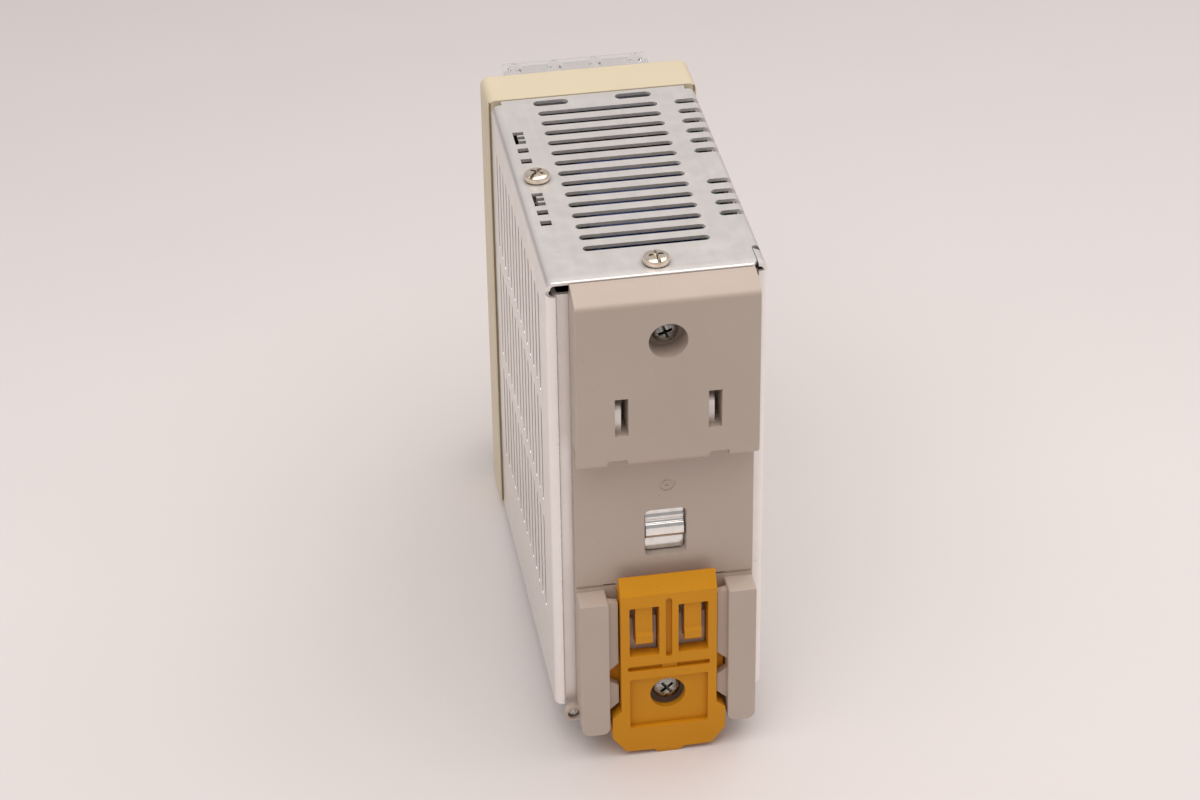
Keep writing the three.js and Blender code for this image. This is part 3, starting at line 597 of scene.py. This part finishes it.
def build_chassis():
    low, high = box_mm("chassis")
    face = box_mm("rail_mount")[0].y - 0.4
    edge = 22.75
    plate = 1.0
    plan = [(-edge, face - 6), (-edge, face - 1.2), *arc(1.2 - edge, face - 1.2, 1.2, 180, 90, 8)]
    plan += [*arc(edge - 1.2, face - 1.2, 1.2, 90, 0, 8), (edge, face - 6), (edge - plate, face - 6)]
    plan += [*arc(edge - 1.2, face - 1.2, 0.2, 0, 90, 3), *arc(1.2 - edge, face - 1.2, 0.2, 90, 180, 3)]
    plan += [(plate - edge, face - 6)]
    body = prism(plan, low.z + 0.4, FLANGE_TOP, "Z")
    body = fuse(body, block(low.x, high.x, low.y, face, low.z, low.z + plate))
    lugs = []
    for side in (-1, 1):
        x = MOUNT_X + side * 10.4 + 0.45
        lug = [(face - 0.5, 88), (high.y - 1.2, 88), *arc(high.y - 1.2, 89.2, 1.2, -90, 0, 6)]
        lug += [*arc(high.y - 1.2, 94.4, 1.2, 0, 90, 6), (face - 0.5, 95.6)]
        lugs.append(prism(lug, x - 0.7, x + 0.7, "X"))
    body = fuse(body, *lugs)
    tools = []
    for _, y in vent_rows()[1:-1]:
        vent = slot_along(-TOP_VENT_HALF, TOP_VENT_HALF, y, VENT_WIDTH)
        tools.append(prism(vent, low.z - 1, low.z + plate + 1, "Z"))
    for z in (RAIL_SCREW_Z, FOOT_SCREW_Z):
        tools.append(prism(circle(MOUNT_X, z, 1.8, 24), face - 2, face + 1, "Y"))
    return cut(body, *tools)


piece(build_chassis(), "chassis_sheet", "chassis", 0.15, 2)


# ---- Front bezel ----
MIDDLE_Z = (box_mm("front_bezel")[0].z + box_mm("front_bezel")[1].z) / 2
BAYS = ((94.3, 119.3), (2 * MIDDLE_Z - 119.3, 2 * MIDDLE_Z - 94.3))


def build_bezel():
    low, high = box_mm("front_bezel")
    half, bottom, top, rear = high.x, low.z, high.z, high.y
    front = -44.5
    stations = (
        (rear, 0.2), (rear - 0.1, 0.06), (rear - 0.25, 0.0), (front + 1.1, 0.0),
        (front + 0.6, 0.1), (front + 0.2, 0.35), (front, 0.8),
    )
    rings = [
        (rounded(i - half, half - i, bottom + i, top - i, 2 - i / 2), y) for y, i in stations
    ]
    body = loft(rings, "Y")
    hollow = rounded(2 - half, half - 2, bottom + 1.5, top - 1.5, 1.6)
    gaps = []
    for side in (-1, 1):
        beside_case = sorted((side * 24.1, side * 24.6))
        gaps.append(block(*beside_case, rear - 0.7, rear + 1, 12, 124.6))
    body = cut(body, prism(hollow, front + 2, rear + 1, "Y"), *gaps)
    wide, console_low, console_high, wall = 20.5, 47, 91, 1.6
    console_front = low.y
    rings = []
    for y, i in ((front + 0.5, -0.3), (front - 0.2, 0), (console_front + 0.9, 0.25),
                 (console_front + 0.4, 0.4), (console_front + 0.1, 0.75), (console_front, 1.2)):
        outline = rounded(i - wide, wide - i, console_low + i, console_high - i, 2.4 - i / 2)
        rings.append((outline, y))
    body = fuse(body, loft(rings, "Y"))
    tools = [block(-20.7, 20.7, front - 1, rear, z0, z1) for z0, z1 in BAYS]
    inside = (console_front + wall, rear, console_low + wall, console_high - wall)
    tools.append(block(wall - wide, wide - wall, *inside))
    tools.append(prism(rounded(-17, 17, 50, 77, 1.2), console_front - 1, console_front + 0.4, "Y"))
    knob_low, knob_high = box_mm("trimmer_knob")
    knob = (knob_low + knob_high) / 2
    tools.append(prism(circle(knob.x, knob.z, 3.7), console_front - 1, console_front + 4, "Y"))
    for lens in ("power_lens", "alarm_lens"):
        lens_low, lens_high = box_mm(lens)
        at = (lens_low + lens_high) / 2
        tools.append(prism(circle(at.x, at.z, 1.75, 24), console_front - 1, console_front + 4, "Y"))
    return cut(body, *tools)


piece(build_bezel(), "bezel_moulding", "front_bezel", 0.22, 3)


# ---- Rail mount ----
SEAT_Y = 54.85
LEDGE_Z = 80.8
TONGUE_X = 5.65
WINDOW_HALF = 3.45
STOPPER_SKIN_Y = 57.2


def saddle(x):
    arm, outer = 1.0, WINDOW_HALF - 0.2
    low, top, floor = 27.5, 37, 30.9
    points = [
        (-outer, low), (outer, low), (outer, top), (outer - arm, top),
        (outer - arm - 0.3, floor), (arm + 0.3 - outer, floor), (arm - outer, top), (-outer, top),
    ]
    return prism([(x + dx, z) for dx, z in points], SEAT_Y - 0.4, STOPPER_SKIN_Y - 0.3, "Y")


def guide_outline(u0, u1, low, top):
    foot, head = 1.8, 0.5
    return (
        arc(u1 - foot, low + foot, foot, -90, 0) + arc(u1 - head, top - head, head, 0, 90)
        + arc(u0 + head, top - head, head, 90, 180) + arc(u0 + foot, low + foot, foot, 180, 270)
    )


def guide_strip(inner, outer, low, high, upper_gusset, lower_gusset):
    """A strip that holds a runner, its ends sloping back to the guide block."""
    reach = abs(outer - inner)
    points = [(inner, low), (outer, low + lower_gusset * reach)]
    points += [(outer, high - upper_gusset * reach), (inner, high)]
    return prism(points, 57.1, 58.9, "Y")


def build_rail_mount():
    low, high = box_mm("rail_mount")
    left, right = MOUNT_X - 20.3, MOUNT_X + 20.3
    rear, back, ridge = high.y, low.y, high.z
    face_top, slope = 122.5, 5.9
    rise = (ridge - face_top) / slope
    hook = 57.6
    inner_edge = CASE_REAR + 0.3
    shell = [
        (back, LEDGE_Z), (SEAT_Y, LEDGE_Z), (SEAT_Y, LEDGE_Z + 3.5), (hook, LEDGE_Z + 3.5),
        (hook, LEDGE_Z), (rear - 1.1, LEDGE_Z), (rear, LEDGE_Z + 1.2),
        *eased((rear, face_top - 1.1), (rear, face_top), (rear - 1.0, face_top + rise)),
        *eased((rear - slope + 0.6, ridge - 0.6 * rise), (rear - slope, ridge), (rear - slope - 0.6, ridge)),
        (inner_edge, ridge), (inner_edge, 122.2), (back, 122.2),
    ]
    hollow = [(back - 1, 86.3), (rear - 2, 86.3), (rear - 2, face_top - 2.4), (back - 1, face_top - 2.4)]
    mount = prism(shell, left, right, "X")
    mount = cut(mount, prism(hollow, left + 2, right - 2, "X"))
    seat = rounded(left, right, 8, LEDGE_Z + 3, 1.5, 6)
    mount = fuse(
        mount,
        prism(circle(MOUNT_X, RAIL_SCREW_Z, 6.2), back, rear - 1, "Y"),
        prism(seat, back, SEAT_Y, "Y"),
        prism(circle(MOUNT_X, FOOT_SCREW_Z, 3.4), back, FOOT_SCREW_SEAT_Y, "Y"),
    )
    additions = []
    for side in (-1, 1):
        sleeve = MOUNT_X + side * 10.4
        additions.append(block(sleeve - 2.6, sleeve + 2.6, back, rear - 1, 87.8, 99.8))
        inner = MOUNT_X + side * 13.7
        outer = MOUNT_X + side * 20.3
        strip = MOUNT_X + side * 11.5
        u0, u1 = min(inner, outer), max(inner, outer)
        rings = [
            (guide_outline(u0 - e, u1 + e, 7 - e, 44.1 + e), y)
            for y, e in ((SEAT_Y - 0.5, 0.0), (rear - 0.45, -0.05), (rear - 0.12, -0.15), (rear, -0.4))
        ]
        additions.append(loft(rings, "Y"))
        additions.append(guide_strip(inner + side * 0.8, strip, 23.4, 43.5, 0.2, 0.9))
        additions.append(guide_strip(inner + side * 0.8, strip, 12.2, 21.6, 0.6, 0.9))
        additions.append(saddle(MOUNT_X + side * TONGUE_X))
    pin_low, pin_high = box_mm("lug_pin")
    pin = (pin_low + pin_high) / 2
    additions.append(prism(circle(pin.x, pin.z, 1.95, 28), CASE_REAR + 0.2, 55.2, "Y"))
    additions.append(block(MOUNT_X + 15.7, pin.x, SEAT_Y - 0.4, 55.2, pin.z - 1.9, pin.z + 1.9))
    mount = fuse(mount, *additions)

    tools = [
        prism(circle(MOUNT_X, RAIL_SCREW_Z, 4.35, 48), RAIL_SCREW_SEAT_Y, rear + 1, "Y"),
        prism(circle(MOUNT_X, RAIL_SCREW_Z, 1.9, 24), back - 1, rear, "Y"),
        prism(circle(MOUNT_X, FOOT_SCREW_Z, 1.9, 24), back - 1, rear, "Y"),
        prism(rounded(-6.1, 3.5, 52.1, 64.6, 1.4, 6), back - 1, SEAT_Y + 1, "Y"),
        prism(circle(pin.x, pin.z, 1.45, 28), 53.6, 56.2, "Y"),
    ]
    for side in (-1, 1):
        x = MOUNT_X + side * 10.4
        notch = MOUNT_X + side * 11.4
        tools.append(block(x - 1.5, x + 1.5, back - 1, rear + 1, 89, 98.6))
        tools.append(block(notch - 2.3, notch + 2.3, hook - 1, rear + 1, LEDGE_Z - 1, LEDGE_Z + 1.6))
        tools.append(block(notch - 2.1, notch + 2.1, rear - 1.4, rear + 1, LEDGE_Z + 1.5, LEDGE_Z + 2.0))
        groove = sorted((MOUNT_X + side * 11.2, MOUNT_X + side * 13.9))
        tools.append(block(*groove, SEAT_Y - 0.9, SEAT_Y + 0.5, 45.1, 45.7))
        faint = sorted((MOUNT_X + side * 13.9, MOUNT_X + side * 21))
        tools.append(block(*faint, SEAT_Y - 0.4, SEAT_Y + 0.5, 44.9, 45.7))
    mount = cut(mount, *tools)

    # ejector mark: a shallow ring with a raised ring inside it
    mark_x, mark_z = -1.6, 71.3
    ring = cut(
        prism(circle(mark_x, mark_z, 1.8, 32), SEAT_Y - 0.18, SEAT_Y + 1, "Y"),
        prism(circle(mark_x, mark_z, 0.95, 32), SEAT_Y - 1, SEAT_Y + 2, "Y"),
    )
    dot = prism(circle(mark_x, mark_z, 0.55, 24), SEAT_Y - 0.18, SEAT_Y + 1, "Y")
    return cut(mount, ring, dot)


piece(build_rail_mount(), "mount_moulding", "rail_mount", 0.3, 3)


# ---- Rail stopper ----
def build_stopper():
    high = box_mm("rail_stopper")[1]
    half, face, back, tip = 11.1, high.y, 55.1, high.z
    outline = [
        (-half, tip + 1), (-half, 13), (-13.2, 11.2), (-13.2, 5.5), (-10, 1.3), (-3.6, 1.1),
        (-2.3, 0), (2.3, 0), (3.6, 1.1), (10, 1.3), (13.2, 5.5), (13.2, 11.2), (half, 13),
        (half, tip + 1),
    ]
    profile = [
        (back, -1), (face - 0.4, -1), (face, 1.5), (face, 45.3), (STOPPER_SKIN_Y + 0.7, tip),
        (STOPPER_SKIN_Y, tip - 0.3), (STOPPER_SKIN_Y, 45.2), (back, 45.2),
    ]
    body = prism([(MOUNT_X + x, z) for x, z in outline], back, face, "Y")
    body = combine(body, "INTERSECT", [prism(profile, -30, 30, "X")])
    tools = [
        prism(circle(MOUNT_X + 0.1, FOOT_SCREW_Z, 4.1, 48), back - 1, face + 1, "Y"),
        block(MOUNT_X - 3.7, MOUNT_X + 3.7, back - 1, 57.7, 11, 30.6),
        prism(rounded(MOUNT_X - 9.1, MOUNT_X + 9.1, 7.95, 21.9, 0.5, 4), face - 1.2, face + 1, "Y"),
        block(MOUNT_X - 9.3, MOUNT_X + 9.3, back - 1, 57.6, 10, 22),
        prism(slot_along(MOUNT_X - 9.6, MOUNT_X + 9.6, 24.9, 1.45), face - 1, face + 1, "Y"),
        prism(slot_across(MOUNT_X, 27.5, 43.9, 1.5), face - 1, face + 1, "Y"),
    ]
    for side in (-1, 1):
        x = MOUNT_X + side * TONGUE_X
        u0, u1 = x - WINDOW_HALF, x + WINDOW_HALF
        tools.append(prism(rounded(u0, u1, 28.4, 41.95, 0.35, 4), back - 1, face + 1, "Y"))
        tools.append(block(u0, u1, back - 1, STOPPER_SKIN_Y, 21.9, 46.2))
    body = cut(body, *tools)
    additions = [block(MOUNT_X - 2.0, MOUNT_X + 1.6, face - 1.1, face - 0.55, 24.0, 25.8)]
    for side in (-1, 1):
        x = MOUNT_X + side * TONGUE_X
        tongue = [
            (58.4, 42.5), (58.4, 34.9), (57.3, 34.4), (57.3, 31.9), (57.7, 31.5), (face - 0.6, 31.5),
            (face - 0.25, 31.9), (face - 0.25, 34.0), (face - 0.85, 34.7), (face - 0.85, 42.5),
        ]
        additions.append(prism(tongue, x - 1.95, x + 1.95, "X"))
        edge = sorted((MOUNT_X + side * (half - 0.5), MOUNT_X + side * 13.3))
        additions.append(block(*edge, 55.3, 56.8, 16, 40))
    return fuse(body, *additions)


piece(build_stopper(), "stopper_slide", "rail_stopper", 0.22, 3)


# ---- Leaf spring behind the window of the seat ----
def build_spring():
    low, high = box_mm("rail_spring")
    back = low.y
    thick = 0.45
    line = [(0.0, low.z), (0.0, 55.4), (0.2, 55.8), (0.8, 56.3), (1.2, 57.0), (1.3, 58.0), (1.25, 59.0)]
    line += [(0.95, 59.7), (0.45, 60.1), (0.3, 60.6), (0.45, 61.2), (0.35, 61.8), (0.05, 62.3), (0.0, high.z)]
    smooth = []
    for i in range(len(line) - 1):
        before, a, b, after = line[max(i - 1, 0)], line[i], line[i + 1], line[min(i + 2, len(line) - 1)]
        for k in range(4):
            t = k / 4
            point = []
            for p, q, r, s in zip(before, a, b, after):
                point.append(0.5 * (2 * q + (r - p) * t + (2 * p - 5 * q + 4 * r - s) * t * t
                                    + (3 * q - p - 3 * r + s) * t ** 3))
            smooth.append(tuple(point))
    smooth.append(line[-1])
    outer = [(back + max(d, 0) + thick, z) for d, z in smooth]
    inner = [(back + max(d, 0), z) for d, z in reversed(smooth)]
    return prism(outer + inner, low.x, high.x, "X")


piece(build_spring(), "leaf_spring", "rail_spring", 0.08, 2)


# ---- Screws ----
TURNS = {
    "+Z": Matrix.Identity(4),
    "+Y": Matrix.Rotation(math.radians(-90), 4, "X"),
    "-Y": Matrix.Rotation(math.radians(90), 4, "X"),
}


def build_screw(head, height, shank, length, slotted, spin):
    """A pan head with a cross recess, and a slot across it where slotted."""
    dome = [(head * math.cos(a), height * 0.6 + height * 0.4 * math.sin(a))
            for a in (math.radians(9 * i) for i in range(10))]
    body = turned(
        [(0, -length), (shank * 0.7, -length), (shank, shank * 0.4 - length), (shank, 0),
         (head * 0.93, 0), (head, height * 0.1), *dome, (0, height)], 48,
    )
    reach = head * 0.56
    arms = []
    for angle in (0, 90):
        taper = [
            (-reach, height + 0.5), (reach, height + 0.5), (reach, height * 0.7),
            (reach * 0.35, height * 0.1), (-reach * 0.35, height * 0.1), (-reach, height * 0.7),
        ]
        blade = prism(taper, -head * 0.115, head * 0.115, "Y")
        turn = Matrix.Rotation(math.radians(angle), 4, "Z")
        arms.append(shifted(blade, turn=turn))
    if slotted:
        arms.append(block(-head - 1, head + 1, -head * 0.13, head * 0.13, height * 0.62, height + 1))
    body = cut(body, *arms)
    body.data.transform(Matrix.Rotation(math.radians(spin), 4, "Z"))
    return body


def fit_screw(node, name, direction, head, height, shank, slotted, spin):
    low, high = box_mm(node)
    centre = (low + high) / 2
    axis = {"+Z": 2, "+Y": 1, "-Y": 1}[direction]
    total = high[axis] - low[axis]
    seat = Vector(centre)
    seat[axis] = high[axis] - height if direction[0] == "+" else low[axis] + height
    screw = build_screw(head, height, shank, total - height, slotted, spin)
    piece(shifted(screw, seat, TURNS[direction]), name, node, 0.07, 2)


fit_screw("case_screw_side", "top_screw_side", "+Z", 2.9, 2.0, 1.5, True, 52)
fit_screw("case_screw_rear", "top_screw_rear", "+Z", 2.9, 2.0, 1.5, True, 96)
fit_screw("mount_screw_upper", "rail_screw_upper", "+Y", 2.9, 2.0, 1.5, False, 20)
fit_screw("mount_screw_lower", "rail_screw_lower", "+Y", 3.2, 1.7, 1.5, False, 38)

TERMINAL_SCREWS = [n for n in NODES if n.startswith(("output_", "input_")) and n.endswith("_screw")]
POLES = sorted(n[: -len("_screw")] for n in TERMINAL_SCREWS)
for count, pole in enumerate(POLES):
    fit_screw(pole + "_screw", pole + "_screw_fine", "-Y", 3.2, 2.2, 1.6, True, 25 + 47 * count)

# ---- Clear terminal covers ----
def build_clear_cover(xs, screw_z):
    low, high = box_mm("output_cover")
    front, top = low.y, high.z
    half, wall = 17.5, 1.2
    hinge_y, hinge_z = -46.2, 119.1
    inner = front + wall
    profile = [
        (hinge_y, top - wall), (hinge_y, top), (front + 1.2, top),
        *arc(front + 1.2, top - 1.2, 1.2, 90, 180, 8),
        (front, low.z), (inner, low.z), (inner, top - wall - 0.4), (inner + 0.4, top - wall),
    ]
    shell = prism(profile, -half, half, "X")
    parts = [prism(circle(hinge_y, hinge_z, 1, 24), -half, half, "X")]
    parts.append(prism(circle(hinge_y, hinge_z, 0.8, 24), -19.2, 19.2, "X"))
    for side in (-1, 1):
        edge = sorted((side * half, side * (half - 1)))
        parts.append(block(*edge, inner - 0.1, -57.2, low.z, top - 1))
    shell = fuse(shell, *parts)
    tools = []
    for x in xs:
        tools.append(prism(circle(x, -57.6, 1.8, 28), top - 3, top + 1, "Z"))
        tools.append(prism(circle(x, screw_z, 2.5, 32), front - 1, inner + 1, "Y"))
    return cut(shell, *tools)


def pole_positions(prefix):
    boxes = [box_mm(p + "_screw") for p in POLES if p.startswith(prefix)]
    return [(low.x + high.x) / 2 for low, high in boxes]


SCREW_Z = sum(v.z for v in box_mm("output_1_screw")) / 2
piece(build_clear_cover(pole_positions("output"), SCREW_Z), "output_lid", "output_cover", 0.15, 3)
lower_lid = build_clear_cover(pole_positions("input"), SCREW_Z)
mirror = Matrix.Translation((0, 0, 2 * MIDDLE_Z)) @ Matrix.Diagonal((1, 1, -1, 1))
lower_lid.data.transform(mirror)
lower_lid.data.flip_normals()
piece(lower_lid, "input_lid", "input_cover", 0.15, 3)

# ---- CAD nodes that keep their shape get real materials and softened edges ----
SHARPER = {"main_board": 0.1, "insulating_sheet": 0.05, "indicator_board": 0.1, "lug_pin": 0.1}
replaced = {n for o in bpy.context.scene.objects for n in o.get("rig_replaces", [])}
for node in sorted(set(NODES) - replaced):
    obj = NODES[node]
    obj.data.materials.clear()
    obj.data.materials.append(LOOKS[SLOT_OF[node]])
    weld = obj.modifiers.new("weld", "WELD")
    weld.merge_threshold = 1e-6
    flat = obj.modifiers.new("flat", "DECIMATE")
    flat.decimate_type = "DISSOLVE"
    flat.angle_limit = FLAT
    soften(obj, SHARPER.get(node, 0.2) * MM, 2)

# ---- Floor, light and camera ----
FOOT_Y = 0.060
BEZEL_FOOT = Vector((0, -0.0445, 0.0108))
LEAN = math.atan2(BEZEL_FOOT.z, FOOT_Y - BEZEL_FOOT.y)


def build_floor():
    size, cells = 6.0, 60
    bm = bmesh.new()
    bmesh.ops.create_grid(bm, x_segments=cells, y_segments=cells, size=size / 2)
    floor = from_bmesh(bm, "floor")
    floor.data.transform(Matrix.Translation((0, FOOT_Y, 0)) @ Matrix.Rotation(-LEAN, 4, "X"))
    t = Tree("paper_board")
    cloud = t.remap(t.noise(2.2, 4, 0.5), 0.3, 0.7, 0, 1)
    base = t.mix(cloud, (0.80, 0.75, 0.74, 1), (0.84, 0.79, 0.78, 1))
    fleck = t.remap(t.noise(260, 3, 0.6), 0.74, 0.8, 0, 0.35)
    base = t.mix(fleck, base, (0.70, 0.64, 0.60, 1))
    # painted shade: the floor darkens away from the camera, standing in for the key light's fall-off
    painted_far_shade = t.remap(t.axis("Y"), -0.02, -0.34, 0, 1)
    base = t.mix(painted_far_shade, base, (0.65, 0.605, 0.605, 1))
    normal = t.bump(t.noise(700, 3), 0.1, 0.0001)
    t.set(t.shader, Base_Color=base, Roughness=t.remap(t.noise(30, 3), 0.3, 0.7, 0.6, 0.8), Normal=normal)
    floor.data.materials.append(t.material)


build_floor()


def soft_light(name, at, aim, size, power, colour):
    data = bpy.data.lights.new(name, "AREA")
    data.shape = "RECTANGLE"
    data.size, data.size_y = size
    data.energy = power
    data.color = colour
    lamp = bpy.data.objects.new(name, data)
    lamp.location = at
    lamp.rotation_euler = (Vector(aim) - Vector(at)).to_track_quat("-Z", "Y").to_euler()
    bpy.context.scene.collection.objects.link(lamp)


AIM = (0, 0, 0.06)
soft_light("key", (-0.06, 0.12, 1.0), AIM, (2.0, 1.0), 11.4, (1.0, 0.955, 0.915))

world = bpy.data.worlds.new("studio")
bpy.context.scene.world = world
world.use_nodes = True
backdrop = world.node_tree.nodes["Background"]
backdrop.inputs["Color"].default_value = (0.98, 0.95, 0.95, 1)
backdrop.inputs["Strength"].default_value = 0.39

AZIMUTH, ELEVATION, ROLL = (math.radians(a) for a in (170.846, 32.7503, -0.8684))
DISTANCE = 0.78508
AIM_POINT = Vector((-0.0005, 0.01565, 0.0728))
SIDE_SHIFT, RISE_SHIFT = 0.0072217, 0.003289


def build_camera():
    back = Vector((
        math.sin(AZIMUTH) * math.cos(ELEVATION),
        -math.cos(AZIMUTH) * math.cos(ELEVATION),
        math.sin(ELEVATION),
    ))
    level = (-back).cross(Vector((0, 0, 1))).normalized()
    upright = level.cross(-back)
    right = math.cos(ROLL) * level + math.sin(ROLL) * upright
    up = math.cos(ROLL) * upright - math.sin(ROLL) * level
    data = bpy.data.cameras.new("camera")
    data.lens = 101.527
    data.sensor_width = 36
    data.clip_start, data.clip_end = 0.01, 20
    camera = bpy.data.objects.new("camera", data)
    bpy.context.scene.collection.objects.link(camera)
    turn = Matrix((right, up, back)).transposed().to_4x4()
    at = AIM_POINT + back * DISTANCE - right * SIDE_SHIFT - up * RISE_SHIFT
    camera.matrix_world = Matrix.Translation(at) @ turn
    bpy.context.scene.camera = camera


build_camera()
bpy.context.scene.view_settings.view_transform = "Standard"
